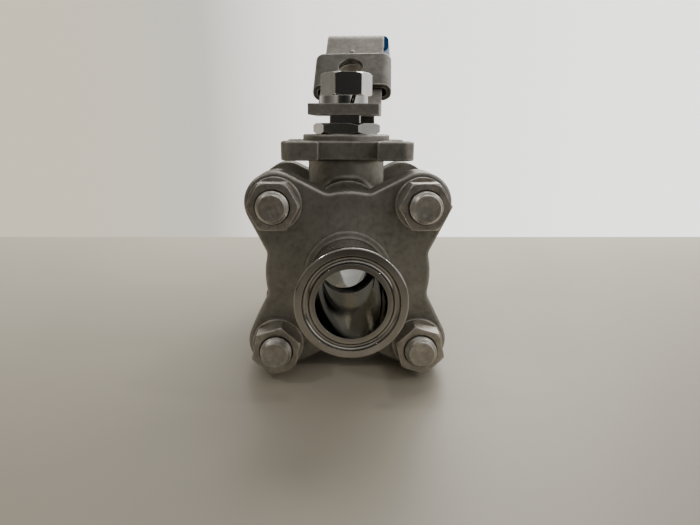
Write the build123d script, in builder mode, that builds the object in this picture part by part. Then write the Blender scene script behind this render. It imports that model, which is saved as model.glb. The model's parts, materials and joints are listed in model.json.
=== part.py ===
"""Three-piece ball valve with mini clamp ends and a lockable hand lever.

Millimetres. The origin is the centre of the ball. The flow axis is Y, with the inlet
towards -Y, and the stem axis is Z, upwards. The valve is drawn a few degrees short of
fully open, so the ball, the stem and the lever are all turned by REST_TURN.
"""
from math import cos, hypot, radians, sin, sqrt, tan
import os

from build123d import *

os.makedirs("parts", exist_ok=True)

# ---------------------------------------------------------------- driving dimensions
BORE_R = 7.9  # flow bore of the caps and the ball
FACE_TO_FACE = 101.6
BODY_LENGTH = 29.0
BODY_R = 21.5
CAVITY_R = 14.6

CAP_THICK = 10.8
CAP_R = 21.5
BOLT_PITCH = 37.0  # side of the square of body bolts
LUG_R = 7.9
LUG_FLANK = 26.6  # angle between a lug's straight flank and the square's side
CAP_EDGE = 0.8

FERRULE_R = 12.5
FERRULE_RIM = 2.85
FERRULE_BEVEL = 20.0
TUBE_R = 9.55
ROOT_R = 11.5  # low boss round the foot of the tube
ROOT_STEP = 0.6
ROOT_FILLET = 0.8
GROOVE_R = 9.94  # gasket groove in the ferrule's face
GROOVE_SECTION = 0.87
RIM_ROUND = 0.4

BALL_R = 13.5
BALL_RUN = 0.06
SEAT_R = 13.0
SEAT_BORE_R = 8.2
SEAT_FRONT = 8.6
SEAT_POCKET = 2.0

SEAL_INNER_R = 15.4
SEAL_OUTER_R = 17.6
SEAL_DEPTH = 1.6

BOLT_R = 4.0
BOLT_HOLE_R = 4.3
NUT_AF = 11.4
NUT_HEIGHT = 5.5
NUT_SINK = 0.35  # countersink of a nut's hole
NUT_CONE_OVER = 0.25  # a nut's turned ends are this much over its flats
HEAD_HEIGHT = 5.3
BOLT_STICKS_OUT = 2.6
WASHER_THICK = 1.8
WASHER_R = 6.75
WASHER_GAP = 1.2

NECK_R = 11.0
HUMP_R = 10.3
HUMP_Z = 12.9
CAST_FILLET = 1.5
NECK_FILLET = 1.2
PAD_BOTTOM = 28.6
PAD_TOP = 33.6
PAD_SIDE = 35.4
PAD_CORNER = 3.0
PAD_EDGE = 0.3
NOTCH_WIDTH = 15.5
NOTCH_DEPTH = 4.4
PAD_PCD = 36.0
PAD_HOLE_R = 2.75
SPIGOT_R = 12.5
SPIGOT_TOP = 35.3

STEM_R = 6.0
STEM_RUN = 0.05
COLLAR_R = 8.0
COLLAR_BOTTOM = 14.2
COLLAR_TOP = 16.6
RECESS_R = 8.15
RECESS_TOP = 18.0
TANG_WIDTH = 11.0
TANG_THICK = 5.0
TANG_BOTTOM = 9.9
SLOT_THICK = 5.16
SLOT_BOTTOM = 9.7
ORING_Z = 20.5
ORING_SECTION_R = 0.75
CHAMBER_R = 9.0
CHAMBER_BOTTOM = 23.0
PACKING_HEIGHT = 2.2
PACKING_COUNT = 3
GLAND_RING_HEIGHT = 3.6
DISC_THICK = 0.8
DISC_HEIGHT = 1.1
GLAND_NUT_AF = 17.0
GLAND_NUT_HEIGHT = 3.0
GLAND_NUT_TURN = -11.7

SHOULDER_SQUARE = 8.8
STEM_SQUARE = 8.3
SQUARE_RUN = 0.1
STUB_R = 4.0
STUB_TOP = 52.25
LEVER_NUT_AF = 12.75
LEVER_NUT_HEIGHT = 6.2
LEVER_NUT_TURN = 3.5
LEVER_WASHER_R = 6.9
LEVER_WASHER_HOLE_R = 4.8
LEVER_WASHER_THICK = 2.3
LEVER_WASHER_X = -0.7  # it sits off centre by its play on the stem

REST_TURN = -6.5  # about Z from fully open; closing is the negative way
LEVER_WIDTH = 19.6
ARM_WIDTH = 18.8
TAPER_START = 9.5  # horizontal distances from the stem axis
TAPER_END = 22.0
LEVER_THICK = 3.0
HUB_FRONT = 9.5
HUB_CORNER = 0.25
HUB_BOTTOM = 40.56
LEVER_TOP = 67.8
LEVER_SLOPE = 45.0
SLOPE_FOOT = 11.63  # where the middles of the hub and the slope meet
BEND_R = 4.0
LEVER_REACH = 128.0
LEVER_CORNER = 5.0
LEVER_HOLE_R = 5.0
STOP_UP_SLOPE = 25.8  # the pressed stop above the lock slide
STOP_R = 1.2
STOP_HEIGHT = 0.5

SLEEVE_START = 45.0
SLEEVE_WALL = 1.0
SLEEVE_SIDE_WALL = 1.5
SLEEVE_END_WALL = 2.0

SLIDE_SHEET = 1.5
SLIDE_GAP = 0.3
SLIDE_WIDTH = 24.7
SLIDE_CORNER = 3.0
SLIDE_LENGTH = 14.7
SLIDE_HOLE_R = 3.7
SLIDE_HOLE_EDGE = 0.3
SLIDE_HOLE_UP = 8.4  # from the slide's lower edge to the middle of its hole
LEVER_HOLE_UP = 6.7  # the same for the lever's larger hole
MARKS_SIDE = -0.6  # the slide's hole and the stop are a little off the lever's middle
SLIDE_COCK = 1.2  # the loose slide hangs a little skew on the lever
SLIDE_SEAM = 0.8
SLIDE_SEAM_X = 8.6
SLIDE_UP_SLOPE = 8.2  # from the slope's foot to the slide's lower edge
TONGUE_WIDTH = 14.2
TIP_WIDTH = 9.2
TONGUE_REACH = 17.05  # horizontal distance of the hanging tongue from the stem axis
TIP_TOP = 36.2
TIP_BOTTOM = 33.95
TONGUE_BEND_R = 2.2

# ---------------------------------------------------------------- derived dimensions
FACE_Y = FACE_TO_FACE / 2
JOINT_Y = BODY_LENGTH / 2
FLANGE_Y = JOINT_Y + CAP_THICK
BOLT_X = BOLT_PITCH / 2
SEAT_BACK = JOINT_Y + SEAT_POCKET
PACKING_TOP = CHAMBER_BOTTOM + PACKING_COUNT * PACKING_HEIGHT
GLAND_RING_TOP = PACKING_TOP + GLAND_RING_HEIGHT
GLAND_NUT_BOTTOM = GLAND_RING_TOP + 2 * DISC_HEIGHT
GLAND_NUT_TOP = GLAND_NUT_BOTTOM + GLAND_NUT_HEIGHT
HUB_TOP = HUB_BOTTOM + LEVER_THICK
LEVER_WASHER_TOP = HUB_TOP + LEVER_WASHER_THICK
TRUNCATE_R = STEM_R  # the square's corners are turned down to the thread's size

TURN = radians(-REST_TURN)
LEVER_WAY = Vector(sin(TURN), cos(TURN), 0)
LEVER_SIDE = Vector(cos(TURN), -sin(TURN), 0)
UPRIGHT = Plane(origin=(0, 0, 0), x_dir=LEVER_WAY, z_dir=LEVER_SIDE)
RAMP = radians(LEVER_SLOPE)
RAMP_WAY = LEVER_WAY * cos(RAMP) + Vector(0, 0, sin(RAMP))
HUB_MIDDLE = HUB_BOTTOM + LEVER_THICK / 2
ARM_MIDDLE = LEVER_TOP - LEVER_THICK / 2
SLOPE_HEAD = SLOPE_FOOT + (ARM_MIDDLE - HUB_MIDDLE) / tan(RAMP)
RAMP_FOOT = LEVER_WAY * SLOPE_FOOT + Vector(0, 0, HUB_MIDDLE)
RAMP_UP = LEVER_SIDE.cross(RAMP_WAY)  # the slope's upper face looks this way


def turned_xy(height, turn=REST_TURN):
    """A horizontal plane whose Y axis follows the lever."""
    return Plane(origin=(0, 0, height), x_dir=(cos(radians(turn)), sin(radians(turn)), 0))


def outward(side, distance):
    """A plane across the flow axis, looking out of the valve on that side."""
    return Plane(origin=(0, side * distance, 0), x_dir=(1, 0, 0), z_dir=(0, side, 0))


def save(part, name):
    part.label = name
    export_step(part, f"parts/{name}.step")
    return part


def ring(name, inner, outer, bottom, top):
    """A plain flat ring about the stem axis."""
    with BuildPart() as piece:
        with BuildSketch(Plane.XY.offset(bottom)):
            Circle(outer)
            Circle(inner, mode=Mode.SUBTRACT)
        extrude(amount=top - bottom)
    return save(piece.part, name)


def chamfered_nut(plane, across_flats, height, hole_r, turn):
    """A hexagon nut on a plane, its ends turned to a 30 degree cone and its hole sunk."""
    corner_r = across_flats / sqrt(3)
    bevel = corner_r - across_flats / 2
    with BuildPart() as cone:
        with BuildSketch(plane):
            Circle(corner_r + NUT_CONE_OVER)
        extrude(amount=height)
        chamfer(cone.edges(), length=bevel * tan(radians(30)), length2=bevel)
    with BuildPart() as piece:
        with BuildSketch(plane):
            RegularPolygon(corner_r, 6, rotation=turn)
            Circle(hole_r, mode=Mode.SUBTRACT)
        extrude(amount=height)
        add(cone.part, mode=Mode.INTERSECT)
        mouths = piece.edges().filter_by(GeomType.CIRCLE).filter_by(
            lambda e: abs(e.radius - hole_r) < 0.01
        )
        chamfer(mouths, NUT_SINK)
    return piece.part


# ---------------------------------------------------------------- body
with BuildPart() as body:
    with BuildSketch(Plane.XZ.offset(-JOINT_Y)):
        Circle(BODY_R)
        with Locations((0, HUMP_Z)):
            Circle(HUMP_R)
    extrude(amount=BODY_LENGTH)
    with BuildSketch(Plane.XY.offset(HUMP_Z)):
        Circle(NECK_R)
    extrude(amount=PAD_BOTTOM - HUMP_Z)
    saddle = body.edges().filter_by(
        lambda e: 8 < e.center().Z < PAD_BOTTOM - 0.5 and abs(e.center().Y) < JOINT_Y - 0.1
    )
    fillet(saddle, CAST_FILLET)
    with BuildSketch(Plane.XY.offset(PAD_BOTTOM)):
        Rectangle(PAD_SIDE, PAD_SIDE)
        with PolarLocations(PAD_SIDE / 2, 4):
            Rectangle(2 * NOTCH_DEPTH, NOTCH_WIDTH, mode=Mode.SUBTRACT)
    extrude(amount=PAD_TOP - PAD_BOTTOM)
    corners = body.edges().filter_by(Axis.Z).filter_by(
        lambda e: min(abs(e.center().X), abs(e.center().Y)) > PAD_SIDE / 2 - 0.1
    )
    fillet(corners, PAD_CORNER)
    neck_top = body.edges().filter_by(GeomType.CIRCLE).filter_by(
        lambda e: abs(e.radius - NECK_R) < 0.01 and abs(e.center().Z - PAD_BOTTOM) < 0.01
    )
    fillet(neck_top, NECK_FILLET)
    pad_rims = body.edges().filter_by(
        lambda e: e.center().Z > PAD_BOTTOM - 0.01
        and abs(e.center().Z - e.bounding_box().max.Z) < 0.01
        and hypot(e.center().X, e.center().Y) > NECK_R + 2
    )
    chamfer(pad_rims, PAD_EDGE)
    with BuildSketch(Plane.XY.offset(PAD_TOP)):
        Circle(SPIGOT_R)
    extrude(amount=SPIGOT_TOP - PAD_TOP)
    chamfer(body.edges().group_by(Axis.Z)[-1], 0.3)
    # the cavity for the ball, and the stem's recess, bore and packing chamber
    with BuildSketch(Plane.XZ.offset(-JOINT_Y)):
        Circle(CAVITY_R)
    extrude(amount=BODY_LENGTH, mode=Mode.SUBTRACT)
    with BuildSketch(Plane.XY):
        Circle(RECESS_R)
    extrude(amount=RECESS_TOP, mode=Mode.SUBTRACT)
    with BuildSketch(Plane.XY):
        Circle(STEM_R + STEM_RUN)
    extrude(amount=SPIGOT_TOP, mode=Mode.SUBTRACT)
    with BuildSketch(Plane.XY.offset(CHAMBER_BOTTOM)):
        Circle(CHAMBER_R)
    extrude(amount=SPIGOT_TOP, mode=Mode.SUBTRACT)
    # grooves for the body seals
    for side in (-1, 1):
        with BuildSketch(outward(side, JOINT_Y - SEAL_DEPTH)):
            Circle(SEAL_OUTER_R)
            Circle(SEAL_INNER_R, mode=Mode.SUBTRACT)
        extrude(amount=SEAL_DEPTH, mode=Mode.SUBTRACT)
    # mounting holes of the actuator pad
    with Locations((0, 0, PAD_TOP)):
        with PolarLocations(PAD_PCD / 2, 4, start_angle=45):
            Hole(PAD_HOLE_R, depth=PAD_TOP - PAD_BOTTOM)
save(body.part, "body")


# ---------------------------------------------------------------- end caps
def lug_wedge():
    """Half of a cap's corner: where a lug's straight flank leaves the disc and meets the lug."""
    flank = radians(LUG_FLANK)
    touch = Vector(BOLT_X + LUG_R * cos(flank), BOLT_X - LUG_R * sin(flank))
    way = Vector(sin(flank), cos(flank))
    along = touch.dot(way)
    back = along - sqrt(along**2 - touch.length**2 + CAP_R**2)
    return touch - way * back, touch


def make_cap(side, name):
    """An end cap: four-lugged flange, short tube and grooved clamp ferrule."""
    foot, touch = lug_wedge()
    drop = (FERRULE_R - TUBE_R) * tan(radians(FERRULE_BEVEL))
    rim_edge = FACE_Y - FERRULE_RIM + drop
    with BuildPart() as piece:
        with BuildSketch(outward(side, JOINT_Y)) as plan:
            Circle(CAP_R)
            with PolarLocations(0, 4):
                Polygon(
                    (0, 0),
                    (foot.X, foot.Y),
                    (touch.X, touch.Y),
                    (BOLT_X, BOLT_X),
                    (touch.Y, touch.X),
                    (foot.Y, foot.X),
                    align=None,
                )
            with PolarLocations(hypot(BOLT_X, BOLT_X), 4, start_angle=45):
                Circle(LUG_R)
            waists = plan.vertices().filter_by(lambda v: abs(hypot(v.X, v.Y) - CAP_R) < 0.05)
            fillet(waists, 3)
        extrude(amount=CAP_THICK)
        outer_face = piece.faces().filter_by(Axis.Y).sort_by(Axis.Y)[-1 if side > 0 else 0]
        fillet(outer_face.edges(), CAP_EDGE)
        with BuildSketch(Plane.YZ):
            with BuildLine():
                Polyline(
                    (side * JOINT_Y, 0),
                    (side * JOINT_Y, ROOT_R),
                    (side * (FLANGE_Y + ROOT_STEP), ROOT_R),
                    (side * (FLANGE_Y + ROOT_STEP), TUBE_R),
                    (side * (FACE_Y - FERRULE_RIM), TUBE_R),
                    (side * rim_edge, FERRULE_R),
                    (side * FACE_Y, FERRULE_R),
                    (side * FACE_Y, 0),
                    (side * JOINT_Y, 0),
                )
            make_face()
        revolve(axis=Axis.Y)
        rims = piece.edges().filter_by(GeomType.CIRCLE).filter_by(
            lambda e: abs(e.radius - FERRULE_R) < 0.01
        )
        fillet(rims, RIM_ROUND)
        boss_edges = piece.edges().filter_by(GeomType.CIRCLE).filter_by(
            lambda e: abs(abs(e.center().Y) - FLANGE_Y - ROOT_STEP) < 0.01
        )
        fillet(boss_edges.filter_by(lambda e: e.radius < ROOT_R - 0.1), ROOT_FILLET)
        fillet(boss_edges.filter_by(lambda e: e.radius > ROOT_R - 0.1), ROOT_STEP / 2)
        with BuildSketch(Plane.YZ):
            Rectangle(3 * FACE_TO_FACE, BORE_R, align=(Align.CENTER, Align.MIN))
            with Locations((side * JOINT_Y, 0)):
                Rectangle(2 * SEAT_POCKET, SEAT_R + 0.1, align=(Align.CENTER, Align.MIN))
            with Locations((side * FACE_Y, GROOVE_R)):
                Circle(GROOVE_SECTION)
        revolve(axis=Axis.Y, mode=Mode.SUBTRACT)
        with BuildSketch(outward(side, JOINT_Y)):
            with PolarLocations(hypot(BOLT_X, BOLT_X), 4, start_angle=45):
                Circle(BOLT_HOLE_R)
        extrude(amount=CAP_THICK, mode=Mode.SUBTRACT)
    return save(piece.part, name)


make_cap(-1, "inlet_cap")
make_cap(1, "outlet_cap")

# ---------------------------------------------------------------- body fasteners
with BuildPart() as body_bolts:
    with BuildSketch(Plane.XZ.offset(-FLANGE_Y)):
        with GridLocations(BOLT_PITCH, BOLT_PITCH, 2, 2):
            Circle(BOLT_R)
    extrude(amount=2 * FLANGE_Y + WASHER_THICK + NUT_HEIGHT + BOLT_STICKS_OUT)
    chamfer(body_bolts.edges().group_by(Axis.Y)[0], length=1.1, length2=0.75)
    with BuildSketch(Plane.XZ.offset(-FLANGE_Y - HEAD_HEIGHT)):
        with GridLocations(BOLT_PITCH, BOLT_PITCH, 2, 2):
            RegularPolygon(NUT_AF / sqrt(3), 6, rotation=12)
    extrude(amount=HEAD_HEIGHT)
save(body_bolts.part, "body_bolts")

with BuildPart() as body_nuts:
    nut_seat = FLANGE_Y + WASHER_THICK
    for bolt_x, bolt_z, nut_turn in (
        (-BOLT_X, BOLT_X, 0),
        (BOLT_X, BOLT_X, 1),
        (-BOLT_X, -BOLT_X, 18),
        (BOLT_X, -BOLT_X, -17),
    ):
        seat = Plane(origin=(bolt_x, -nut_seat, bolt_z), x_dir=(1, 0, 0), z_dir=(0, -1, 0))
        add(chamfered_nut(seat, NUT_AF, NUT_HEIGHT, BOLT_R + 0.02, nut_turn))
save(body_nuts.part, "body_nuts")


def split_washer(plane, outer, inner, thick, gap_turn):
    """A split lock washer, flattened, with its slanted gap turned about its own axis."""
    with BuildPart() as piece:
        with BuildSketch(plane):
            Circle(outer)
            Circle(inner, mode=Mode.SUBTRACT)
        extrude(amount=thick)
        gap = plane.rotated((0, 0, gap_turn)).offset(thick / 2)
        cutter = Box(
            outer,
            WASHER_GAP,
            3 * thick,
            align=(Align.MIN, Align.CENTER, Align.CENTER),
            rotation=(-18, 0, 0),
            mode=Mode.PRIVATE,
        )
        add(gap * cutter, mode=Mode.SUBTRACT)
    return piece.part


with BuildPart() as body_spring_washers:
    for bolt_x, bolt_z, gap_turn in (
        (-BOLT_X, BOLT_X, 250),
        (BOLT_X, BOLT_X, 285),
        (-BOLT_X, -BOLT_X, 106),
        (BOLT_X, -BOLT_X, 98),
    ):
        seat = Plane(origin=(bolt_x, -FLANGE_Y, bolt_z), x_dir=(1, 0, 0), z_dir=(0, -1, 0))
        add(split_washer(seat, WASHER_R, BOLT_R + 0.1, WASHER_THICK, gap_turn))
save(body_spring_washers.part, "body_spring_washers")


# ---------------------------------------------------------------- seats and body seals
def make_seat(side, name):
    """A seat ring held in its cap's pocket, with its face dished to the ball."""
    with BuildPart() as piece:
        with BuildSketch(Plane.YZ):
            with BuildLine():
                Polyline(
                    (side * SEAT_BACK, SEAT_BORE_R),
                    (side * SEAT_BACK, SEAT_R),
                    (side * (SEAT_FRONT + 1.6), SEAT_R),
                    (side * SEAT_FRONT, SEAT_R - 1.2),
                    (side * SEAT_FRONT, SEAT_BORE_R),
                    (side * SEAT_BACK, SEAT_BORE_R),
                )
            make_face()
            Circle(BALL_R + BALL_RUN, mode=Mode.SUBTRACT)
        revolve(axis=Axis.Y)
    return save(piece.part, name)


def make_body_seal(side, name):
    """A square-section ring that fills the groove between the body and a cap."""
    with BuildPart() as piece:
        with BuildSketch(outward(side, JOINT_Y - SEAL_DEPTH)):
            Circle(SEAL_OUTER_R - 0.05)
            Circle(SEAL_INNER_R + 0.05, mode=Mode.SUBTRACT)
        extrude(amount=SEAL_DEPTH)
    return save(piece.part, name)


for side, end in ((-1, "inlet"), (1, "outlet")):
    make_seat(side, f"{end}_seat")
    make_body_seal(side, f"{end}_body_seal")

# ---------------------------------------------------------------- ball
with BuildPart() as ball:
    Sphere(BALL_R)
    with BuildSketch(Plane(origin=(0, 0, 0), x_dir=LEVER_SIDE, z_dir=LEVER_WAY)):
        Circle(BORE_R)
    extrude(amount=2 * BALL_R, both=True, mode=Mode.SUBTRACT)
    with BuildSketch(turned_xy(SLOT_BOTTOM)):
        Rectangle(3 * BALL_R, SLOT_THICK)
    extrude(amount=BALL_R, mode=Mode.SUBTRACT)
save(ball.part, "ball")

# ---------------------------------------------------------------- stem and its seals
with BuildPart() as stem:
    with BuildSketch(turned_xy(TANG_BOTTOM)):
        Rectangle(TANG_WIDTH, TANG_THICK)
    extrude(amount=COLLAR_BOTTOM - TANG_BOTTOM)
    with BuildSketch(Plane.XY.offset(COLLAR_BOTTOM)):
        Circle(COLLAR_R)
    extrude(amount=COLLAR_TOP - COLLAR_BOTTOM)
    with BuildSketch(Plane.XY.offset(COLLAR_TOP)):
        Circle(STEM_R)
    extrude(amount=GLAND_NUT_TOP - COLLAR_TOP)
    for bottom, top, square in (
        (GLAND_NUT_TOP, HUB_BOTTOM, SHOULDER_SQUARE),
        (HUB_BOTTOM, HUB_TOP - 0.2, STEM_SQUARE),
    ):
        with BuildSketch(turned_xy(bottom)):
            Circle(TRUNCATE_R)
            Rectangle(square, square, mode=Mode.INTERSECT)
        extrude(amount=top - bottom)
    with BuildSketch(Plane.XY.offset(HUB_TOP - 0.2)):
        Circle(STUB_R)
    extrude(amount=STUB_TOP - HUB_TOP + 0.2)
    chamfer(stem.edges().group_by(Axis.Z)[-1], 0.6)
    with BuildSketch(Plane.XZ):
        with Locations((STEM_R, ORING_Z)):
            Rectangle(3, 2 * ORING_SECTION_R + 0.4)
    revolve(axis=Axis.Z, mode=Mode.SUBTRACT)
save(stem.part, "stem")

with BuildPart() as stem_o_ring:
    with BuildSketch(Plane.XZ):
        with Locations((STEM_R - ORING_SECTION_R, ORING_Z)):
            Circle(ORING_SECTION_R)
    revolve(axis=Axis.Z)
save(stem_o_ring.part, "stem_o_ring")

ring("stem_thrust_washer", STEM_R + 0.1, COLLAR_R, COLLAR_TOP, RECESS_TOP)


def packing_ring(name, bottom):
    """A chevron packing ring: a flat ring with a peaked top and a matching hollow below."""
    inner = STEM_R + 0.1
    outer = CHAMBER_R - 0.05
    middle = (inner + outer) / 2
    peak = 0.7
    with BuildPart() as piece:
        with BuildSketch(Plane.XZ):
            with BuildLine():
                Polyline(
                    (inner, bottom),
                    (middle, bottom + peak),
                    (outer, bottom),
                    (outer, bottom + PACKING_HEIGHT - peak),
                    (middle, bottom + PACKING_HEIGHT),
                    (inner, bottom + PACKING_HEIGHT - peak),
                    (inner, bottom),
                )
            make_face()
        revolve(axis=Axis.Z)
    return save(piece.part, name)


for level, place in enumerate(("lower", "middle", "upper")):
    packing_ring(f"packing_ring_{place}", CHAMBER_BOTTOM + level * PACKING_HEIGHT)

ring("gland_ring", STEM_R + 0.1, CHAMBER_R - 0.1, PACKING_TOP, GLAND_RING_TOP)


def spring_disc(name, inner_z, outer_z):
    """A disc spring: a thin cone between its inner and its outer edge."""
    inner = STEM_R + 0.3
    outer = CHAMBER_R - 0.2
    with BuildPart() as piece:
        with BuildSketch(Plane.XZ):
            with BuildLine():
                Polyline(
                    (inner, inner_z),
                    (outer, outer_z),
                    (outer, outer_z + DISC_THICK),
                    (inner, inner_z + DISC_THICK),
                    (inner, inner_z),
                )
            make_face()
        revolve(axis=Axis.Z)
    return save(piece.part, name)


DISC_DISH = DISC_HEIGHT - DISC_THICK
spring_disc("spring_disc_lower", GLAND_RING_TOP + DISC_DISH, GLAND_RING_TOP)
spring_disc(
    "spring_disc_upper", GLAND_RING_TOP + DISC_HEIGHT, GLAND_RING_TOP + DISC_HEIGHT + DISC_DISH
)

gland_nut = chamfered_nut(
    Plane.XY.offset(GLAND_NUT_BOTTOM),
    GLAND_NUT_AF,
    GLAND_NUT_HEIGHT,
    STEM_R + 0.02,
    GLAND_NUT_TURN,
)
save(gland_nut, "gland_nut")

# ---------------------------------------------------------------- lever and its fastening
with BuildPart() as lever:
    with BuildSketch(UPRIGHT):
        with BuildLine():
            FilletPolyline(
                (-HUB_FRONT, HUB_MIDDLE),
                (SLOPE_FOOT, HUB_MIDDLE),
                (SLOPE_HEAD, ARM_MIDDLE),
                (LEVER_REACH, ARM_MIDDLE),
                radius=BEND_R,
            )
        trace(line_width=LEVER_THICK)
    extrude(amount=LEVER_WIDTH / 2, both=True)
    with BuildSketch(turned_xy(HUB_BOTTOM)) as plan:
        half_plan = Polygon(
            (0, -HUB_FRONT),
            (LEVER_WIDTH / 2, -HUB_FRONT),
            (LEVER_WIDTH / 2, TAPER_START),
            (ARM_WIDTH / 2, TAPER_END),
            (ARM_WIDTH / 2, LEVER_REACH),
            (0, LEVER_REACH),
            align=None,
        )
        mirror(half_plan, about=Plane.YZ)
    extrude(amount=LEVER_TOP - HUB_BOTTOM, mode=Mode.INTERSECT)
    tip_edges = lever.edges().filter_by(Axis.Z).filter_by(
        lambda e: e.center().dot(LEVER_WAY) > LEVER_REACH - 0.1
    )
    fillet(tip_edges, LEVER_CORNER)
    hub_edges = lever.edges().filter_by(Axis.Z).filter_by(
        lambda e: e.center().dot(LEVER_WAY) < 0.1 - HUB_FRONT
    )
    chamfer(hub_edges, HUB_CORNER)
    with BuildSketch(turned_xy(HUB_BOTTOM)):
        Circle(TRUNCATE_R + SQUARE_RUN / 2)
        Rectangle(STEM_SQUARE + SQUARE_RUN, STEM_SQUARE + SQUARE_RUN, mode=Mode.INTERSECT)
    extrude(amount=LEVER_THICK, mode=Mode.SUBTRACT)
    slide_low = RAMP_FOOT + RAMP_WAY * SLIDE_UP_SLOPE
    lock_hole = slide_low + RAMP_WAY * LEVER_HOLE_UP
    with BuildSketch(Plane(origin=lock_hole, x_dir=LEVER_SIDE, z_dir=RAMP_UP)):
        Circle(LEVER_HOLE_R)
    extrude(amount=LEVER_THICK, both=True, mode=Mode.SUBTRACT)
    stop_sunk = LEVER_THICK / 2 + STOP_HEIGHT - STOP_R
    stop_foot = RAMP_FOOT + RAMP_WAY * STOP_UP_SLOPE + LEVER_SIDE * MARKS_SIDE
    with Locations(stop_foot + RAMP_UP * stop_sunk):
        Sphere(STOP_R)
save(lever.part, "lever")

lever_washer = split_washer(
    Plane(origin=(LEVER_WASHER_X, 0, HUB_TOP)),
    LEVER_WASHER_R,
    LEVER_WASHER_HOLE_R,
    LEVER_WASHER_THICK,
    -70,
)
save(lever_washer, "lever_spring_washer")

lever_nut = chamfered_nut(
    Plane.XY.offset(LEVER_WASHER_TOP),
    LEVER_NUT_AF,
    LEVER_NUT_HEIGHT,
    STUB_R + 0.02,
    LEVER_NUT_TURN,
)
save(lever_nut, "lever_nut")

with BuildPart() as grip_sleeve:
    sleeve_end = LEVER_REACH + SLEEVE_END_WALL
    with BuildSketch(turned_xy(ARM_MIDDLE)):
        with Locations((0, SLEEVE_START)):
            Rectangle(
                ARM_WIDTH + 2 * SLEEVE_SIDE_WALL,
                sleeve_end - SLEEVE_START,
                align=(Align.CENTER, Align.MIN),
            )
    extrude(amount=LEVER_THICK / 2 + SLEEVE_WALL, both=True)
    end_edges = grip_sleeve.edges().filter_by(Axis.Z).filter_by(
        lambda e: e.center().dot(LEVER_WAY) > sleeve_end - 0.1
    )
    fillet(end_edges, LEVER_CORNER + SLEEVE_SIDE_WALL)
    long_edges = grip_sleeve.faces().filter_by(Axis.Z).edges().filter_by(
        lambda e: e.center().dot(LEVER_WAY) > SLEEVE_START + 0.1
    )
    fillet(long_edges, 1.6)
    with BuildSketch(turned_xy(ARM_MIDDLE)) as pocket:
        with Locations((0, SLEEVE_START)):
            Rectangle(
                ARM_WIDTH + 0.04,
                LEVER_REACH - SLEEVE_START + 0.02,
                align=(Align.CENTER, Align.MIN),
            )
        fillet(pocket.vertices().group_by(Axis.Y)[-1], LEVER_CORNER)
    extrude(amount=LEVER_THICK / 2 + 0.02, both=True, mode=Mode.SUBTRACT)
save(grip_sleeve.part, "grip_sleeve")

# ---------------------------------------------------------------- lock slide
SLIDE_INNER_HEIGHT = LEVER_THICK + 2 * SLIDE_GAP
SLIDE_HEIGHT = SLIDE_INNER_HEIGHT + 2 * SLIDE_SHEET
LOWER_SHEET = SLIDE_INNER_HEIGHT / 2 + SLIDE_SHEET / 2  # from the lever's middle
SHEET_DROP = LOWER_SHEET / cos(RAMP)  # the same, measured straight down

with BuildPart() as lock_slide:
    ramp_section = Plane(origin=slide_low, x_dir=LEVER_SIDE, z_dir=RAMP_WAY)
    with BuildSketch(ramp_section):
        RectangleRounded(SLIDE_WIDTH, SLIDE_HEIGHT, SLIDE_CORNER)
        RectangleRounded(
            SLIDE_WIDTH - 2 * SLIDE_SHEET,
            SLIDE_INNER_HEIGHT,
            SLIDE_CORNER - SLIDE_SHEET,
            mode=Mode.SUBTRACT,
        )
    extrude(amount=SLIDE_LENGTH)
    # the slit where the wrapped sheet ends, on the lower side
    below = slide_low - RAMP_UP * LOWER_SHEET + LEVER_SIDE * SLIDE_SEAM_X
    with BuildSketch(Plane(origin=below, x_dir=LEVER_SIDE, z_dir=RAMP_UP)):
        Rectangle(SLIDE_SEAM, 3 * SLIDE_LENGTH)
    extrude(amount=SLIDE_SHEET, both=True, mode=Mode.SUBTRACT)
    # the tongue runs on down the slope, then hangs beside the pad
    tongue_top = HUB_MIDDLE - SHEET_DROP + (TONGUE_REACH - SLOPE_FOOT)
    tongue_root = SLOPE_FOOT + (SLIDE_UP_SLOPE + 2) * cos(RAMP) + LOWER_SHEET * sin(RAMP)
    with BuildSketch(UPRIGHT):
        with BuildLine():
            FilletPolyline(
                (tongue_root, HUB_MIDDLE - SHEET_DROP + (tongue_root - SLOPE_FOOT)),
                (TONGUE_REACH, tongue_top),
                (TONGUE_REACH, TIP_TOP),
                radius=TONGUE_BEND_R,
            )
        trace(line_width=SLIDE_SHEET)
    extrude(amount=TONGUE_WIDTH / 2, both=True)
    with BuildSketch(turned_xy(TIP_BOTTOM)):
        with Locations((0, TONGUE_REACH)):
            Rectangle(TIP_WIDTH, SLIDE_SHEET)
    extrude(amount=TIP_TOP - TIP_BOTTOM)
    # padlock hole through both sheets
    hole_middle = slide_low + RAMP_WAY * SLIDE_HOLE_UP + LEVER_SIDE * MARKS_SIDE
    with BuildSketch(Plane(origin=hole_middle, x_dir=LEVER_SIDE, z_dir=RAMP_UP)):
        Circle(SLIDE_HOLE_R)
    extrude(amount=SLIDE_HEIGHT, both=True, mode=Mode.SUBTRACT)
    mouths = lock_slide.edges().filter_by(GeomType.CIRCLE).filter_by(
        lambda e: abs(e.radius - SLIDE_HOLE_R) < 0.01
    )
    chamfer(mouths.sort_by(lambda e: e.center().dot(RAMP_UP))[-1], SLIDE_HOLE_EDGE)
skewed_slide = lock_slide.part.rotate(Axis(hole_middle, RAMP_UP), SLIDE_COCK)
save(skewed_slide, "lock_slide")
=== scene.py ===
"""The looks of the ball valve: materials, threaded bolts, and the studio round the CAD frame.

Everything is in metres in the frame's own axes: +Y along the flow, +Z up the stem, with
the centre of the ball at the origin.
"""

import json
from math import ceil, cos, pi, radians, sin

import bmesh
import bpy
from mathutils import Matrix, Vector


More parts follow.
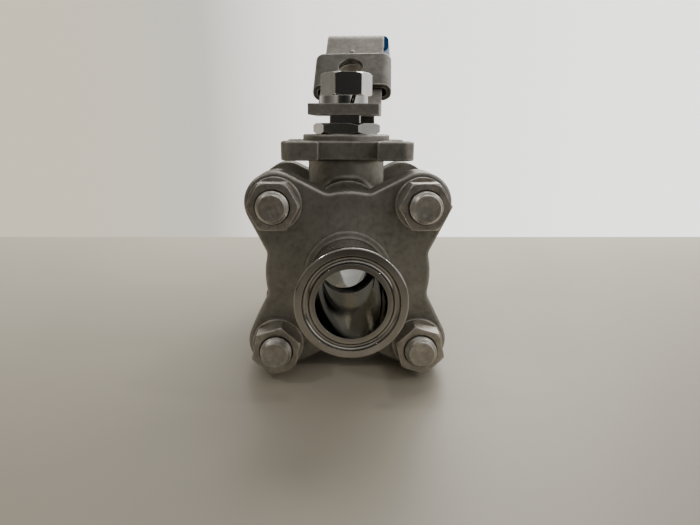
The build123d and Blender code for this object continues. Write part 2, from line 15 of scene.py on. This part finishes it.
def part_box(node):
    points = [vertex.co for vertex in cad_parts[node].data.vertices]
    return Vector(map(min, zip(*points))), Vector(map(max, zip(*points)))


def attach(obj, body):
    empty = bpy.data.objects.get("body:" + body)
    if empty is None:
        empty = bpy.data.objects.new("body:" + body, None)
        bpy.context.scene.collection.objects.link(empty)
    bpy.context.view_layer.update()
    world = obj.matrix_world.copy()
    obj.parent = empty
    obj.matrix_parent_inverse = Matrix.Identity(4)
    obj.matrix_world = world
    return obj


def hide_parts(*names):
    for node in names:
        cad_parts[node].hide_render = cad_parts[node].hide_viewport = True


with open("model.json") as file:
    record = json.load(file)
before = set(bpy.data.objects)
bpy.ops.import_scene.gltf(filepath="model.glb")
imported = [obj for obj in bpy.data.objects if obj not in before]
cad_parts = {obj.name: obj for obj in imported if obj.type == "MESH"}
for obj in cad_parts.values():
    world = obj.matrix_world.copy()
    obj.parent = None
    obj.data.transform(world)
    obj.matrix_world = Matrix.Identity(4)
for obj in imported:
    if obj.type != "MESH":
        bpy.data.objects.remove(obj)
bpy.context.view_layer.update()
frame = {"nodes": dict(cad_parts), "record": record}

# ------------------------------------------------------------------ camera
CAMERA_PLACE = (-0.00406, -0.16337, 0.03695)
CAMERA_YAW = 1.88  # degrees to the right of +Y
CAMERA_PITCH = 13.75  # degrees down
CAMERA_ROLL = 0.35  # degrees
CAMERA_LENS = 28.18  # millimetres, as is the sensor's width
SENSOR_WIDTH = 36.0
CLIP_NEAR = 0.005
CLIP_FAR = 20.0


def make_camera():
    data = bpy.data.cameras.new("camera")
    data.lens = CAMERA_LENS
    data.sensor_width = SENSOR_WIDTH
    data.clip_start = CLIP_NEAR
    data.clip_end = CLIP_FAR
    camera = bpy.data.objects.new("camera", data)
    bpy.context.collection.objects.link(camera)
    camera.location = CAMERA_PLACE
    turn = (
        Matrix.Rotation(radians(-CAMERA_YAW), 3, "Z")
        @ Matrix.Rotation(radians(90 - CAMERA_PITCH), 3, "X")
        @ Matrix.Rotation(radians(CAMERA_ROLL), 3, "Z")
    )
    camera.rotation_euler = turn.to_euler()
    bpy.context.scene.camera = camera


# ------------------------------------------------------------------ node helpers
# A mix node's first input, second input and output, by what it mixes.
MIX_SOCKETS = {"FLOAT": (2, 3, 0), "VECTOR": (4, 5, 1), "RGBA": (6, 7, 2)}
NOISE_MIDDLE = (0.3, 0.7)  # most of a noise's values lie between these


class Nodes:
    """A node tree, with short calls for the nodes that the materials and the world share."""

    def __init__(self, tree, coordinate):
        self.tree = tree
        self.place = self.node("ShaderNodeTexCoord").outputs[coordinate]

    def node(self, kind, settings=None, **inputs):
        """A new node. An input's name has _ for each space."""
        made = self.tree.nodes.new(kind)
        for key, value in (settings or {}).items():
            setattr(made, key, value)
        for key, value in inputs.items():
            self.feed(made.inputs[key.replace("_", " ")], value)
        return made

    def feed(self, socket, value):
        """Links a node's output to the socket, or sets the socket's own value."""
        if isinstance(value, bpy.types.NodeSocket):
            self.tree.links.new(value, socket)
        elif socket.type == "RGBA":
            socket.default_value = (*value, 1.0)
        else:
            socket.default_value = value

    def math(self, operation, first, second=0.0, clamp=False):
        made = self.node("ShaderNodeMath", {"operation": operation, "use_clamp": clamp})
        self.feed(made.inputs[0], first)
        self.feed(made.inputs[1], second)
        return made.outputs[0]

    def span(self, value, low, high, to_low=0.0, to_high=1.0):
        """The stretch from low to high, mapped to the one from to_low to to_high."""
        made = self.node("ShaderNodeMapRange")
        for socket, number in zip(made.inputs, (value, low, high, to_low, to_high)):
            self.feed(socket, number)
        return made.outputs[0]

    def mix(self, amount, first, second, kind="RGBA", blend="MIX"):
        made = self.node("ShaderNodeMix", {"data_type": kind, "blend_type": blend})
        into_first, into_second, out = MIX_SOCKETS[kind]
        self.feed(made.inputs[0], amount)
        self.feed(made.inputs[into_first], first)
        self.feed(made.inputs[into_second], second)
        return made.outputs[out]

    def axes(self):
        made = self.node("ShaderNodeSeparateXYZ")
        self.feed(made.inputs[0], self.place)
        return made.outputs


class Shader(Nodes):
    """A material's node tree, in the coordinates of the object that wears it."""

    def __init__(self, name):
        self.material = bpy.data.materials.new(name)
        self.material.use_nodes = True
        super().__init__(self.material.node_tree, "Object")
        self.surface = self.tree.nodes["Principled BSDF"]
        self.output = self.tree.nodes["Material Output"]

    def set(self, **inputs):
        for key, value in inputs.items():
            self.feed(self.surface.inputs[key.replace("_", " ")], value)

    def noise(self, scale, detail, roughness, place=None):
        made = self.node("ShaderNodeTexNoise", Scale=scale, Detail=detail, Roughness=roughness)
        self.feed(made.inputs["Vector"], place or self.place)
        return made.outputs["Fac"]

    def middle(self, noise, to_low=0.0, to_high=1.0):
        """A noise's usual values, mapped to the stretch from to_low to to_high."""
        return self.span(noise, *NOISE_MIDDLE, to_low, to_high)

    def tones(self, noise, dark, light):
        return self.mix(self.middle(noise), dark, light)

    def stretched(self, x, y, z):
        made = self.node("ShaderNodeMapping", Scale=(x, y, z))
        self.feed(made.inputs["Vector"], self.place)
        return made.outputs["Vector"]

    def bump(self, height, depth, strength, under):
        made = self.node("ShaderNodeBump", Height=height, Distance=depth, Strength=strength)
        self.feed(made.inputs["Normal"], under)
        return made.outputs["Normal"]

    def bevel(self, radius):
        return self.node("ShaderNodeBevel", {"samples": 4}, Radius=radius).outputs["Normal"]

    def crevice(self, reach, inside=False):
        """1 on open surfaces, towards 0 in corners; with inside, towards 0 at edges."""
        settings = {"samples": 8, "inside": inside}
        return self.node("ShaderNodeAmbientOcclusion", settings, Distance=reach).outputs["AO"]


def scaled(colour, factor):
    return tuple(factor * part for part in colour)


# ------------------------------------------------------------------ cast and turned steel
CAST_DARK = (0.245, 0.235, 0.208)
CAST_LIGHT = (0.365, 0.350, 0.315)
CAST_SPECKLE = (0.455, 0.435, 0.395)
CAST_PIT = (0.15, 0.14, 0.122)
# Painted shade: the tone that corners and crevices of the casting are darkened to.
CAST_CORNER_SHADE = (0.080, 0.072, 0.058)
# Edges of the casting lighten to this: partly rubbed wear, partly a painted highlight.
CAST_RUBBED_HIGHLIGHT = (0.80, 0.78, 0.72)
CAST_GLANCE = (0.65, 0.65, 0.63)  # its colour at a glancing angle
# Painted light and shade: the ferrule's rim gets a darker copy and the tube a lighter copy of
# one turned steel.
RIM_SHADED_DARK = (0.34, 0.322, 0.295)
RIM_SHADED_LIGHT = (0.48, 0.462, 0.43)
SATIN_LIT_DARK = (0.74, 0.72, 0.68)
SATIN_LIT_LIGHT = (0.84, 0.82, 0.78)
# Painted shade: the tone that the inside of the bore is darkened towards.
BORE_SHADE_TONE = (0.27, 0.27, 0.245)

TUBE_START = 0.0268  # where the turned tube starts, from the centre along the flow axis
TUBE_FADE = 0.0006
RIM_START = 0.0476  # and where the polished ferrule does
RIM_FADE = 0.0004
BORE_EDGE = 0.0086  # just outside the bore's radius
TURNED_PITCH = 0.00013


def worn_edge_and_highlight(shader, reach):
    """How far an edge is lightened, from 0 to 1, in uneven stretches: partly rubbed wear, partly
    a painted highlight.
    """
    near = shader.span(shader.crevice(reach, inside=True), 0.45, 0.95, 1.0, 0.0)
    uneven = shader.span(shader.noise(520, 3, 0.6), 0.36, 0.62, 0.25, 1.0)
    return shader.math("MULTIPLY", near, uneven)


def cast_finish(shader):
    """Blasted investment casting: fine even grain, faint clouds, painted shade in the corners,
    and edges lightened by wear and by a painted highlight.
    """
    grain = shader.noise(2100, 3, 0.65)
    clouds = shader.noise(120, 4, 0.6)
    pits = shader.noise(700, 3, 0.6)
    # Painted shade: an occlusion mask darkens the colour in corners and crevices.
    corner_shade = shader.span(shader.crevice(0.0020), 0.25, 0.85, 0.45, 0.0)
    # Edges lightened: partly rubbed wear, partly a painted highlight.
    edge = worn_edge_and_highlight(shader, 0.0008)
    tone = shader.tones(clouds, CAST_DARK, CAST_LIGHT)
    tone = shader.mix(shader.span(pits, 0.38, 0.72, 0.0, 0.50), tone, CAST_SPECKLE)
    tone = shader.mix(shader.span(pits, 0.22, 0.40, 0.45, 0.0), tone, CAST_PIT)
    tone = shader.mix(corner_shade, tone, CAST_CORNER_SHADE)
    tone = shader.mix(edge, tone, CAST_RUBBED_HIGHLIGHT)
    smoothed = shader.math("MULTIPLY", edge, 0.18)
    rough = shader.math("SUBTRACT", shader.middle(grain, 0.40, 0.54), smoothed)
    normal = shader.bevel(0.00040)
    normal = shader.bump(clouds, 0.00015, 0.35, normal)
    normal = shader.bump(pits, 0.00006, 0.45, normal)
    normal = shader.bump(grain, 0.00003, 0.70, normal)
    return tone, rough, normal


def turned_finish(shader, radius, along, bore):
    """Turned about the flow axis: satin on the tube, polished on the ferrule and in the bore;
    painted light on the tube's tone, painted shade on the ferrule's and the bore's.
    """
    rim = shader.math("MAXIMUM", shader.span(along, RIM_START, RIM_START + RIM_FADE), bore)
    y = shader.axes()[1]
    turns = shader.math("MULTIPLY", shader.math("ADD", radius, y), 2 * pi / TURNED_PITCH)
    rings = shader.math("SINE", turns)
    smear = shader.noise(160, 3, 0.6)
    scratches = shader.noise(2600, 2, 0.6)
    # The tube's lighter tone is painted light; the ferrule's darker tone is painted shade.
    satin = shader.tones(smear, SATIN_LIT_DARK, SATIN_LIT_LIGHT)
    tone = shader.mix(rim, satin, shader.tones(smear, RIM_SHADED_DARK, RIM_SHADED_LIGHT))
    # Painted shade: the bore is darkened half way towards its tone.
    tone = shader.mix(shader.math("MULTIPLY", bore, 0.5), tone, BORE_SHADE_TONE)
    brushed = shader.middle(scratches, 0.22, 0.34)
    polish = shader.middle(smear, 0.04, 0.10)
    rough = shader.mix(rim, brushed, polish, "FLOAT")
    normal = shader.bump(rings, 0.0000005, 0.35, shader.bevel(0.00022))
    normal = shader.bump(scratches, 0.000002, 0.3, normal)
    return tone, rough, normal


def cast_material():
    """Cast caps and body, with the tube, the ferrule and the bore turned and polished."""
    shader = Shader("cast_steel_blasted")
    x, y, z = shader.axes()
    square = shader.math("ADD", shader.math("MULTIPLY", x, x), shader.math("MULTIPLY", z, z))
    radius = shader.math("SQRT", square)
    along = shader.math("ABSOLUTE", y)
    bore = shader.math("LESS_THAN", radius, BORE_EDGE)
    tube = shader.span(along, TUBE_START, TUBE_START + TUBE_FADE)
    turned = shader.math("MAXIMUM", tube, bore, clamp=True)
    cast_tone, cast_rough, cast_normal = cast_finish(shader)
    tone, rough, normal = turned_finish(shader, radius, along, bore)
    shader.set(
        Base_Color=shader.mix(turned, cast_tone, tone),
        Metallic=1.0,
        Specular_Tint=CAST_GLANCE,
        Roughness=shader.mix(turned, cast_rough, rough, "FLOAT"),
        Normal=shader.mix(turned, cast_normal, normal, "VECTOR"),
    )
    return shader.material


# ------------------------------------------------------------------ other materials
# Painted shade: the tone that corners and crevices of the metal parts are darkened to.
METAL_CORNER_SHADE = (0.070, 0.062, 0.050)
# Edges of the metal parts lighten to this: partly rubbed wear, partly a painted highlight.
METAL_RUBBED_HIGHLIGHT = (0.82, 0.80, 0.76)
MARK_DEPTH = 0.55  # the tone of a mark, as a part of the metal's dark tone


def plain_metal(name, dark, light, roughness, grain, depth, edge, mottle=0.6):
    """A machined or tumbled metal with small marks, rounded edges lightened by wear and by a
    painted highlight, and painted shade in the corners.

    roughness is its lowest and highest, grain and depth the scale and height of the fine
    bumps, edge the radius that edges are rounded to, and mottle how strong the marks are.
    """
    shader = Shader(name)
    clouds = shader.noise(170, 4, 0.6)
    marks = shader.noise(620, 5, 0.75)
    fine = shader.noise(grain, 3, 0.6)
    # Painted shade: an occlusion mask darkens the colour in corners and crevices.
    corner_shade = shader.span(shader.crevice(0.0010), 0.2, 0.8, 0.35, 0.0)
    tone = shader.tones(clouds, dark, light)
    marked = shader.mix(shader.span(marks, 0.35, 0.65), scaled(dark, MARK_DEPTH), tone)
    tone = shader.mix(mottle, tone, marked)
    tone = shader.mix(corner_shade, tone, METAL_CORNER_SHADE)
    # Edges lightened: partly rubbed wear, partly a painted highlight.
    tone = shader.mix(worn_edge_and_highlight(shader, 0.0005), tone, METAL_RUBBED_HIGHLIGHT)
    normal = shader.bump(clouds, 0.00005, 0.30, shader.bevel(edge))
    shader.set(
        Base_Color=tone,
        Metallic=1.0,
        Roughness=shader.middle(fine, *roughness),
        Normal=shader.bump(fine, depth, 0.5, normal),
    )
    return shader.material


def plastic_material(name, colour, rough, subsurface=0.0):
    """A plastic with faint clouds, a fine skin, and scuffs drawn out along the flow axis."""
    shader = Shader(name)
    clouds = shader.noise(220, 3, 0.5)
    scuffs = shader.noise(60, 4, 0.7, shader.stretched(6, 1, 6))
    skin_grain = shader.noise(1500, 3, 0.6)
    shader.set(
        Base_Color=shader.tones(clouds, scaled(colour, 0.80), colour),
        Roughness=shader.span(scuffs, 0.35, 0.7, rough * 0.8, rough * 1.3),
        Normal=shader.bump(skin_grain, 0.00001, 0.4, shader.bevel(0.0003)),
        Subsurface_Weight=subsurface,
    )
    return shader.material


def make_materials():
    """The materials, by the material slot or the node that wears them."""
    return {
        "cast_steel": cast_material(),
        "bolt_steel": plain_metal(
            "bolt_steel_turned", dark=(0.46, 0.425, 0.375), light=(0.62, 0.585, 0.53),
            roughness=(0.36, 0.50), grain=1400, depth=0.000010, edge=0.0003,
        ),
        "threaded_bolts": plain_metal(
            "bolt_steel_rolled", dark=(0.48, 0.450, 0.402), light=(0.66, 0.628, 0.575),
            roughness=(0.34, 0.50), grain=1400, depth=0.000012, edge=0.0003,
        ),
        "polished_steel": plain_metal(
            "polished_steel_mirror", dark=(0.60, 0.59, 0.57), light=(0.70, 0.69, 0.67),
            roughness=(0.04, 0.10), grain=700, depth=0.000003, edge=0.0002, mottle=0.15,
        ),
        "gland_nut": plain_metal(
            "gland_steel_polished", dark=(0.46, 0.45, 0.43), light=(0.58, 0.57, 0.55),
            roughness=(0.05, 0.11), grain=700, depth=0.000003, edge=0.0002, mottle=0.15,
        ),
        # The ball's steel is a darker copy of the polished steel: painted shade inside the bore.
        "ball": plain_metal(
            "ball_steel_shaded", dark=(0.42, 0.42, 0.38), light=(0.54, 0.54, 0.50),
            roughness=(0.04, 0.08), grain=900, depth=0.000003, edge=0.0002, mottle=0.2,
        ),
        "sheet_steel": plain_metal(
            "sheet_steel_tumbled", dark=(0.34, 0.323, 0.290), light=(0.46, 0.440, 0.400),
            roughness=(0.46, 0.60), grain=1700, depth=0.000014, edge=0.0004,
        ),
        "lock_slide": plain_metal(
            "slide_steel_tumbled", dark=(0.16, 0.152, 0.134), light=(0.235, 0.224, 0.202),
            roughness=(0.36, 0.48), grain=1700, depth=0.000014, edge=0.0004,
        ),
        "ptfe": plastic_material("ptfe_white", (0.83, 0.82, 0.78), 0.45, subsurface=0.15),
        "elastomer": plastic_material("elastomer_black", (0.035, 0.035, 0.035), 0.5),
        "blue_vinyl": plastic_material("blue_vinyl_dipped", (0.012, 0.115, 0.40), 0.28),
    }


def dress_nodes(materials):
    """Each CAD node gets the material made for it, or else its slot's."""
    slots = {part["node"]: part["material_slot"] for part in frame["record"]["subparts"]}
    for name, node in frame["nodes"].items():
        for slot in node.material_slots:
            slot.material = materials.get(name) or materials[slots[name]]


# ------------------------------------------------------------------ threaded bolts
WASHER_R = 0.00675
BOLT_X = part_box("body_spring_washers")[1][0] - WASHER_R  # the bolts' distance to each side
BOLT_R = 0.0040
BOLTS = ((-1, 1, 0.2), (1, 1, 0.5), (-1, -1, 0.9), (1, -1, 0.35))  # side, side, head's turn
AROUND = 60  # vertices in a ring

THREAD_PITCH = 0.00125
THREAD_DEPTH = 0.00070
THREAD_LENGTH = 0.0180
THREAD_ROWS = 9  # rings of vertices for each turn
ROOT_HALF = 0.07  # half of the root's flat, as a part of the pitch
FLANK = 0.36  # one flank, as a part of the pitch

TIP_SLOPE = 0.85  # the tip's taper, from TIP_DROP below the full radius
TIP_DROP = 0.00085
TIP_RINGS = (  # each one's radius, and how far it is sunk below the tip
    (0.0006, 0.00010), (0.0018, 0.00008), (0.0023, 0.0), (0.0029, 0.00006),
)

HEAD_AF = 0.0114  # across flats
HEAD_HEIGHT = 0.0053
HEAD_RINGS = (  # each one's height, and the most its radius may be
    (0, 0.0063), (0.0004, 0.0067), (0.0045, 0.0067), (HEAD_HEIGHT, 0.0057),
    (HEAD_HEIGHT, 0.0046), (HEAD_HEIGHT - 0.0002, 0.0044),
)
SHARP_FROM = 38  # degrees between faces


def ring(mesh, x, y, z, radius_at):
    """A closed ring of vertices round a line along the flow axis."""
    made = []
    for n in range(AROUND):
        angle = 2 * pi * n / AROUND
        radius = radius_at(angle)
        made.append(mesh.verts.new((x + radius * cos(angle), y, z + radius * sin(angle))))
    return made


def skin(mesh, rings):
    """Faces between neighbouring rings, and one over each end."""
    for first, second in zip(rings, rings[1:]):
        for n in range(AROUND):
            m = (n + 1) % AROUND
            mesh.faces.new((first[n], first[m], second[m], second[n]))
    mesh.faces.new(rings[0])
    mesh.faces.new(rings[-1])


def thread_radius(distance, angle):
    """A bolt's radius at a distance from its free end, with a right-hand thread."""
    turn = (distance / THREAD_PITCH + angle / (2 * pi)) % 1.0
    flank = min(1.0, max(0.0, (abs(turn - 0.5) - ROOT_HALF) / FLANK))
    fade = min(1.0, max(0.0, THREAD_LENGTH - distance) / THREAD_PITCH)
    radius = BOLT_R - THREAD_DEPTH * (1.0 - flank) * fade
    return min(radius, BOLT_R - TIP_DROP + distance * TIP_SLOPE)


def hexagon_radius(angle, turn, limit):
    """The radius of a head at an angle, with its corners turned off at a limit."""
    from_flat = (angle - turn + pi / 6) % (pi / 3) - pi / 6
    return min(HEAD_AF / 2 / cos(from_flat), limit)


def add_bolt(mesh, x, z, tip_y, seat_y, turn):
    """A threaded shank with a faced tip, and a hexagon head, in one closed skin."""
    rings = []
    for radius, sink in TIP_RINGS:
        rings.append(ring(mesh, x, tip_y + sink, z, lambda angle: radius))
    for row in range(ceil(THREAD_LENGTH / THREAD_PITCH * THREAD_ROWS) + 1):
        distance = row * THREAD_PITCH / THREAD_ROWS
        rings.append(ring(mesh, x, tip_y + distance, z, lambda a: thread_radius(distance, a)))
    rings.append(ring(mesh, x, seat_y, z, lambda angle: BOLT_R))
    for rise, limit in HEAD_RINGS:
        rings.append(ring(mesh, x, seat_y + rise, z, lambda a: hexagon_radius(a, turn, limit)))
    skin(mesh, rings)


def make_bolts(material):
    """The four body bolts, with their threads, in place of the plain CAD ones."""
    tip_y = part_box("body_bolts")[0][1]
    seat_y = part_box("body_bolts")[1][1] - HEAD_HEIGHT
    mesh = bmesh.new()
    for x, z, turn in BOLTS:
        add_bolt(mesh, x * BOLT_X, z * BOLT_X, tip_y, seat_y, turn)
    bmesh.ops.recalc_face_normals(mesh, faces=mesh.faces)
    for face in mesh.faces:
        face.smooth = True
    data = bpy.data.meshes.new("threaded_bolts")
    mesh.to_mesh(data)
    mesh.free()
    data.set_sharp_from_angle(angle=radians(SHARP_FROM))
    data.materials.append(material)
    bolts = bpy.data.objects.new("threaded_bolts", data)
    bpy.context.collection.objects.link(bolts)
    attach(bolts, "valve")
    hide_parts("body_bolts")


# ------------------------------------------------------------------ floor
FLOOR_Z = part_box("inlet_cap")[0][2]
FLOOR_REACH = 3.0  # to each side and towards the viewer
WALL_Y = 0.160  # where the floor ends
FLOOR_NEAR_Y = -0.10  # painted light and shade: the floor's colour brightens from here to its end
# Painted shade near the viewer, and painted light towards the window, in the floor's colours.
FLOOR_SHADED_DARK = (0.355, 0.325, 0.262)
FLOOR_SHADED_LIGHT = (0.383, 0.352, 0.286)
FLOOR_LIT_DARK = (0.68, 0.625, 0.505)
FLOOR_LIT_LIGHT = (0.72, 0.665, 0.54)

SHADE_NEAR = -0.088  # reflections see the floor darken from here, away from the valve
SHADE_FAR = -0.24  # and dark from here
SHADE_RISE = 0.0002  # above the floor
SHADE_TONE = (0.03, 0.028, 0.025)


def flat_piece(name, far, z):
    """A flat piece of the stage, from the viewer's side to far, facing up."""
    reach = FLOOR_REACH
    corners = [(-reach, -reach, z), (reach, -reach, z), (reach, far, z), (-reach, far, z)]
    mesh = bpy.data.meshes.new(name)
    mesh.from_pydata(corners, [], [(0, 1, 2, 3)])
    piece = bpy.data.objects.new(name, mesh)
    bpy.context.collection.objects.link(piece)
    return piece


def floor_colour(shader):
    """Pale and warm, with painted shade near the viewer and painted light towards the window
    behind.
    """
    clouds = shader.noise(9, 4, 0.6)
    near = shader.tones(clouds, FLOOR_SHADED_DARK, FLOOR_SHADED_LIGHT)
    far = shader.tones(clouds, FLOOR_LIT_DARK, FLOOR_LIT_LIGHT)
    return shader.mix(shader.span(shader.axes()[1], FLOOR_NEAR_Y, WALL_Y), near, far)


def make_floor():
    floor = flat_piece("floor", WALL_Y, FLOOR_Z)
    shader = Shader("floor_pale")
    shader.set(Base_Color=floor_colour(shader), Roughness=0.42)
    floor.data.materials.append(shader.material)


def make_shade():
    """The viewer's shade on the floor, for reflections in the valve only.

    The camera and the lights pass it, and the floor sees through it from below.
    """
    shade = flat_piece("shade", SHADE_NEAR, FLOOR_Z + SHADE_RISE)
    shade.visible_camera = False
    shade.visible_shadow = False
    shader = Shader("shade_dark")
    dark = shader.span(shader.axes()[1], SHADE_FAR, SHADE_NEAR, 1.0, 0.0)
    shader.set(Base_Color=shader.mix(dark, floor_colour(shader), SHADE_TONE), Roughness=0.6)
    below = shader.node("ShaderNodeNewGeometry").outputs["Backfacing"]
    clear = shader.node("ShaderNodeBsdfTransparent").outputs[0]
    pick = shader.node("ShaderNodeMixShader")
    for socket, value in zip(pick.inputs, (below, shader.surface.outputs[0], clear)):
        shader.feed(socket, value)
    shader.feed(shader.output.inputs["Surface"], pick.outputs[0])
    shade.data.materials.append(shader.material)


# ------------------------------------------------------------------ room and lights
def greys(*stops):
    return tuple((place, (level, level, level)) for place, level in stops)


# Each stop is the part of a direction along an axis, from -1 to 1, and a colour.
WALL_SEEN = (  # what the camera sees, across
    (-0.425, (0.93, 0.85, 0.66)),
    (-0.215, (0.90, 0.86, 0.75)),
    (-0.058, (1.80, 1.74, 1.68)),
    (0.20, (2.10, 2.06, 2.00)),
    (0.47, (2.40, 2.36, 2.30)),
)
# What lights the valve and shows in it is the first three multiplied, plus the last.
ROOM_ACROSS = (
    (-1.0, (0.30, 0.28, 0.24)),
    (-0.45, (0.78, 0.735, 0.65)),
    (0.0, (1.25, 1.22, 1.18)),
    (0.45, (1.5, 1.47, 1.43)),
    (1.0, (1.3, 1.28, 1.25)),
)
ROOM_DEPTH = greys(
    (-1.0, 0.02), (-0.91, 0.06), (-0.80, 0.66), (-0.2, 0.46),
    (0.15, 0.40), (0.5, 0.8), (0.90, 0.93), (1.0, 0.30),
)
ROOM_HEIGHT = greys((0.25, 1.0), (0.6, 0.5), (1.0, 0.25))
ROOM_CEILING = ((0.45, (0.0, 0.0, 0.0)), (0.9, (0.34, 0.335, 0.325)))

LIGHT_COLOUR = (1.0, 0.97, 0.93)
LIGHTS = (  # name, place, what it points at, diameter, watts
    ("window", (0.14, 0.38, 0.36), (0.05, 0.10, -0.03), 0.45, 2.4),
    ("lamp_left", (-0.61, -0.18, 0.71), (0, 0, 0), 0.06, 0.8),
    ("lamp_right", (0.75, -0.30, 0.55), (0, 0, 0), 0.06, 0.8),
)


def ramp(nodes, axis, stops):
    """A colour by the direction's part along an axis."""
    made = nodes.node("ShaderNodeValToRGB")
    elements = made.color_ramp.elements
    while len(elements) < len(stops):
        elements.new(0.5)
    for element, (place, colour) in zip(elements, stops):
        element.position = 0.5 + place / 2
        element.color = (*colour, 1.0)
    nodes.feed(made.inputs[0], nodes.span(axis, -1.0, 1.0))
    return made.outputs[0]


def make_world():
    """A pale wall behind, and in reflections a room that is dark on the viewer's side."""
    world = bpy.data.worlds.new("studio")
    world.use_nodes = True
    bpy.context.scene.world = world
    nodes = Nodes(world.node_tree, "Generated")
    x, y, z = nodes.axes()
    room = ramp(nodes, x, ROOM_ACROSS)
    room = nodes.mix(1.0, room, ramp(nodes, y, ROOM_DEPTH), blend="MULTIPLY")
    room = nodes.mix(1.0, room, ramp(nodes, z, ROOM_HEIGHT), blend="MULTIPLY")
    room = nodes.mix(1.0, room, ramp(nodes, z, ROOM_CEILING), blend="ADD")
    seen = nodes.node("ShaderNodeLightPath").outputs["Is Camera Ray"]
    colour = nodes.mix(seen, room, ramp(nodes, x, WALL_SEEN))
    nodes.feed(nodes.tree.nodes["Background"].inputs["Color"], colour)


def make_lights():
    for name, place, target, size, power in LIGHTS:
        data = bpy.data.lights.new(name, "AREA")
        data.shape = "DISK"
        data.size = size
        data.energy = power
        data.color = LIGHT_COLOUR
        light = bpy.data.objects.new(name, data)
        light.location = place
        aim = Vector(target) - Vector(place)
        light.rotation_euler = aim.to_track_quat("-Z", "Y").to_euler()
        bpy.context.collection.objects.link(light)


# ------------------------------------------------------------------ the scene
materials = make_materials()
make_camera()
make_floor()
make_shade()
make_world()
make_lights()
dress_nodes(materials)
make_bolts(materials["threaded_bolts"])
